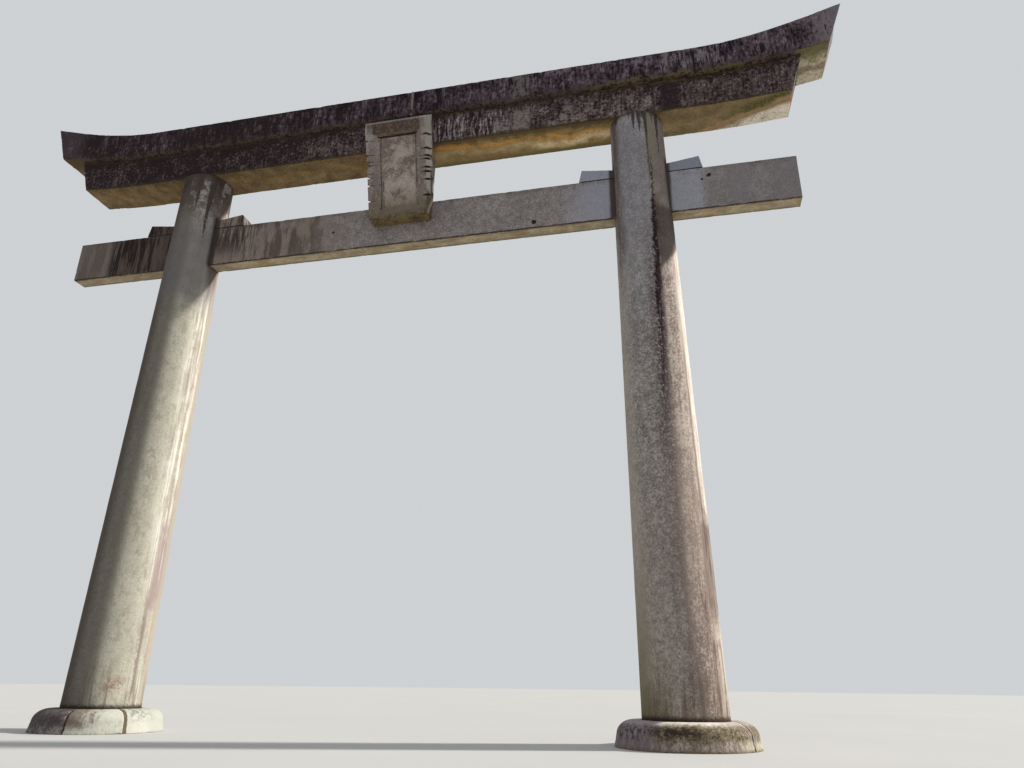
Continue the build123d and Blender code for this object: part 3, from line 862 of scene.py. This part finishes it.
colour.coat(126, 116, 116, left_of_patch * rise(cells, 0.42, 0.54) * 0.7)
smooth_band = band(x + sway(cells, 0.1), 3.2, 3.42, 0.035) * rise(under_bed, 0, 0.08)
colour.coat(42, 30, 34, smooth_band * (0.7 + 0.25 * rise(cells, 0.56, 0.46)))
# a dark band of moss and painted shade hangs down from the bed joint under the upper lintel's overhang, and
# the lower arris has an earthy green edge
dark_at_bed = rise(under_bed + sway(patches, 0.22) + sway(cells, 0.12), 0.07, 0.02)
colour.coat(52, 40, 36, dark_at_bed * 0.85)
mossy = dark_at_bed * rise(mean(patches, cells), 0.47, 0.54)
colour.coat(98, 87, 58, mossy * (0.45 + 0.4 * mossy_stretch))
low_edge = rise(z + sway(cells, 0.1) - lift(x, soffit_rise), soffit + 0.05, soffit + 0.005)
colour.coat(62, 52, 38, low_edge * rise(abs(face_y), 0.5, 0.9) * 0.75)
# soffit: lanes along the beam, olive in front, then an orange thread, tan or cream, and green behind
wander = cloud(place, 1.1, detail=6, wide=1.3, shift=9, rough=0.66)
lane = y + sway(wander, 0.62)
grit = mean(cells, fine)
middle = rise(x + sway(blotch, 1.2), 1.1, 1.9)
soft = patches * 0.4 + grit * 0.6
underside = cover(paint(112, 92, 60), paint(152, 130, 90), rise(soft, 0.42, 0.58))
cream = cover(paint(170, 146, 104), paint(226, 210, 172), rise(soft, 0.44, 0.54))
underside = cover(underside, cream, band(lane, -0.02, 0.12, 0.06) * (0.3 + 0.7 * middle))
thread = band(lane + sway(grit, 0.26), -0.098, -0.03, 0.018)
underside.coat(204, 143, 62, thread * rise(mean(blotch, soft), 0.43, 0.5) * 0.85)
by_pillar = band(x, 1.85, 2.6, 0.3) * band(lane, -0.06, 0.15, 0.05) * rise(soft, 0.42, 0.52)
underside.coat(214, 186, 144, by_pillar * 0.6)
underside.coat(160, 122, 68, band(lane, -0.07, 0.02, 0.05) * rise(grit, 0.44, 0.54) * 0.6)
underside.coat(94, 88, 54, rise(y + sway(soft, 0.3), 0.14, 0.22) * 0.75)
underside.coat(82, 68, 44, rise(y + sway(soft, 0.34), -0.11, -0.21) * 0.8)
# over the right end it goes from olive brown to a dry cream at the back corner, with moss between
corner = lane * 0.6 + y * 0.4 + (x - 4.25) * 0.3
end_colour = cover(paint(104, 89, 63), paint(144, 125, 93), rise(soft, 0.42, 0.58))
end_colour.coat(190, 144, 104, band(corner + sway(soft, 0.25), -0.01, 0.05, 0.03) * 0.45)
end_colour.coat(218, 208, 190, rise(corner, 0.04, 0.14) * rise(soft, 0.4, 0.5))
moss_way = band(corner + sway(patches, 0.2), -0.14, -0.02, 0.04) * rise(x, 3.8, 4.2) * rise(grit, 0.45, 0.52)
end_colour.coat(70, 74, 36, moss_way * 0.9)
underside = cover(underside, end_colour, rise(x, 3, 3.4))
left_part = rise(x, 0.2, -0.6)
left_colour = cover(paint(86, 70, 49), paint(134, 114, 82), rise(soft, 0.42, 0.58))
underside = cover(underside, left_colour, left_part * 0.85)
underside.coat(70, 57, 40, rise(grit, 0.52, 0.6) * 0.55)
underside.coat(54, 45, 33, rise(y + sway(fine, 0.03), -0.22, -0.236) * 0.8)
colour = cover(colour, underside, rise(face_z, -0.55, -0.85))
colour.coat(112, 102, 98, worn(place, "chip") * 0.45)
height = cells * 0.5 + fine * 0.3 + patches * 0.5
finish(lower_finish, colour, roughness=0.92, height=height, relief=0.006)

for node in ("lower_lintel_left", "lower_lintel_right"):
    shape = dressed(node, arris=0.006, steps=(0.025, 0.032, 0.03), hollow=0.004, chip=0.010)
    set_in_place(f"{node}_worn", shape, lower_finish, [node])

# Upper lintel: two longer beams bedded on the lower ones, with a top pitched to both sides and ends that
# sweep up and are cut on a slant. Rain draws pale streaks down the dark face, and moss grows on the bed.
upper_finish, place = start_finish("upper_lintel_granite_weathered")
x, y, z = along(place)
face_z = facing(place)[2]
over_bed = z - (bed + lift(x, bed_rise))
mossy_stretch = band(x, 2.4, 4.3, 0.4)
patches = cloud(place, 0.16, detail=8, tall=1.6, shift=14, rough=0.72)
cells = cloud(place, 0.045, detail=6, shift=4, rough=0.78)
blotch = cloud(place, 0.5, detail=7, shift=6, rough=0.66)
runs = cloud(place, 0.028, detail=6, tall=5, shift=2, rough=0.76)
broad_runs = cloud(place, 0.09, detail=6, tall=5, shift=12, rough=0.7)
fine = cloud(place, 0.018, detail=4, shift=8, rough=0.78)
darker_left = rise(x, -0.3, -2.2)
# a dark purple-brown crust with upright streaks in it, palest right of the right pillar
tone = runs * 0.28 + broad_runs * 0.2 + cells * 0.27 + patches * 0.15 + blotch * 0.1 - darker_left * 0.022
tone = tone + rise(x, 1.4, 2.4) * 0.012
colour = cover(paint(36, 25, 30), paint(68, 56, 63), rise(tone, 0.46, 0.51))
colour.coat(118, 107, 113, rise(tone, 0.514, 0.565) * rise(over_bed, 0.02, 0.12) * 0.85)
mingled = patches * 0.45 + broad_runs * 0.35 + cells * 0.2
middle = band(x, -0.3, 3.3, 0.3)
colour.coat(108, 98, 104, middle * rise(mingled, 0.5, 0.57) * rise(over_bed, 0.03, 0.14) * 0.45)
colour.coat(25, 17, 21, middle * rise(mingled, 0.47, 0.42) * 0.6)
washed = band(x, 3.46, 4.02, 0.03) * rise(mean(runs, broad_runs), 0.48, 0.55)
colour.coat(130, 125, 129, washed * rise(over_bed, 0.06, 0.13) * 0.5)
colour.coat(22, 15, 19, band(x, 3.38, 4.1, 0.05) * rise(broad_runs, 0.47, 0.41) * 0.85)
colour.coat(27, 19, 23, rise(patches * 0.4 + runs * 0.4 + cells * 0.2, 0.485, 0.435) * 0.8)
colour.coat(140, 130, 136, rise(fine * 0.4 + runs * 0.6, 0.57, 0.64) * rise(tone, 0.47, 0.52) * 0.4)
above_patch = band(x + sway(fine, 0.02), 1.4, 1.62, 0.015)
colour.coat(100, 95, 92, above_patch * rise(tone, 0.45, 0.52) * 0.7)
colour.coat(44, 33, 31, darker_left * rise(tone, 0.52, 0.47) * 0.5)
# the tips are smoother and paler grey, with a few black runs
tip = rise(x + sway(broad_runs, 0.8) + sway(cells, 0.5), 4.72, 5.1)
colour.coat(122, 114, 118, tip * 0.75)
colour.coat(34, 28, 30, tip * rise(mean(runs, broad_runs), 0.54, 0.59) * 0.9)
left_tip = rise(x + sway(broad_runs, 0.4), -4.7, -5)
colour.coat(84, 74, 78, left_tip * 0.5)
# moss on the bed: an uneven dark line that thickens over the right pillar
dark_at_bed = rise(over_bed + sway(patches, 0.2) + sway(cells, 0.1), 0.045, 0)
colour.coat(50, 38, 34, dark_at_bed * (0.35 + 0.5 * rise(broad_runs, 0.44, 0.56)))
mossy = rise(over_bed + sway(patches, 0.24), 0.05, 0.01) * rise(mean(patches, cells), 0.47, 0.54)
speckle = rise(over_bed + sway(patches, 0.3) + sway(cells, 0.3), 0.095, 0.03) * rise(cells, 0.46, 0.53)
colour.coat(100, 88, 58, most(mossy * 0.45, speckle * (0.2 + 0.6 * mossy_stretch)))
# rain and sun have left the pitched top greyer than the faces, with cushions of moss in its hollows
top = rise(face_z, 0.45, 0.75)
lichen = cover(paint(62, 54, 54), paint(136, 130, 124), rise(mean(patches, cells), 0.45, 0.56))
lichen.coat(74, 73, 46, rise(patches * 0.6 + blotch * 0.4, 0.51, 0.57) * 0.8)
colour = cover(colour, lichen, top * 0.85)
# the narrow underside along the front and back is dark with moss and painted shade; beyond the lower lintel
# it is cream and green
under = rise(face_z, -0.55, -0.85)
ledge = cover(paint(46, 36, 33), paint(102, 90, 60), rise(patches * 0.4 + cells * 0.6, 0.46, 0.54))
ledge.coat(88, 76, 78, rise(mean(cells, broad_runs), 0.43, 0.53) * (0.85 - 0.5 * mossy_stretch))
wander = cloud(place, 0.5, detail=6, wide=1.2, shift=9, rough=0.66)
lane = y + sway(wander, 0.5)
end_soffit = cover(paint(108, 98, 70), paint(184, 176, 152), rise(lane + sway(cells, 0.4), -0.22, -0.02))
end_soffit.coat(132, 116, 90, band(lane, 0.02, 0.1, 0.03) * 0.8)
end_soffit.coat(92, 92, 60, rise(cells * 0.6 + patches * 0.4, 0.48, 0.58) * rise(lane, 0.05, -0.1) * 0.7)
end_soffit.coat(84, 72, 52, rise(cells * 0.4 + fine * 0.6, 0.5, 0.58) * 0.55)
end_soffit.coat(70, 50, 36, darker_left * 0.55)
beyond = rise(abs(x) - over_bed * 0.3, 4.7, 4.76)
colour = cover(colour, cover(ledge, end_soffit, beyond), under)
colour.coat(106, 98, 100, worn(place, "chip") * 0.4)
height = cells * 0.5 + fine * 0.3 + runs * 0.3
finish(upper_finish, colour, roughness=0.92, height=height, relief=0.005)

for node in ("upper_lintel_left", "upper_lintel_right"):
    shape = dressed(node, arris=0.007, steps=(0.025, 0.04, 0.03), hollow=0.004, chip=0.009)
    set_in_place(f"{node}_worn", shape, upper_finish, [node])

# Floor, lights and camera: a pale floor, an even grey-white surround and one broad soft light on the right
# and a little behind, where the daylight stood. The camera looks up at the gate from the right.
floor_radius = 70
surround_colour = (0.94, 0.97, 1.0, 1.0)
surround_strength = 0.66
light_strength = 5.6
light_spread = radians(4)
light_colour = (1.0, 0.965, 0.90)
light_from = (0.80, 0.256, 0.545)
film_width = 36
focal_length = 26.60
view_limit = 300
camera_place = (3.093, -7.491, 0.512)
camera_turn = 0.2243
camera_tilt = 0.3762
camera_roll = 0.0116

floor_finish, place = start_finish("pale_floor")
dust = cloud(place, 2.5, detail=3)
colour = cover(paint(172, 171, 169), paint(180, 179, 177), dust)
finish(floor_finish, colour, roughness=0.9, height=dust, relief=0.001)
floor_shape = bmesh.new()
bmesh.ops.create_circle(floor_shape, cap_ends=True, segments=96, radius=floor_radius)
floor_mesh = mesh_from("floor", floor_shape)
floor_mesh.materials.append(floor_finish)
floor = placed("floor", floor_mesh)

world = bpy.data.worlds.new("surround")
world.use_nodes = True
background = world.node_tree.nodes["Background"]
background.inputs["Color"].default_value = surround_colour
background.inputs["Strength"].default_value = surround_strength
bpy.context.scene.world = world

broad = bpy.data.lights.new("broad_light", "SUN")
broad.energy = light_strength
broad.angle = light_spread
broad.color = light_colour
broad_light = placed("broad_light", broad)
broad_light.rotation_euler = Vector(light_from).to_track_quat("Z", "Y").to_euler()

lens = bpy.data.cameras.new("camera")
lens.sensor_width = film_width
lens.lens = focal_length
lens.clip_end = view_limit
camera = placed("camera", lens)
camera.matrix_world = (
    Matrix.Translation(camera_place)
    @ Matrix.Rotation(camera_turn, 4, "Z")
    @ Matrix.Rotation(pi / 2 + camera_tilt, 4, "X")
    @ Matrix.Rotation(camera_roll, 4, "Z")
)
bpy.context.scene.camera = camera
bpy.context.scene.view_settings.view_transform = "Standard"
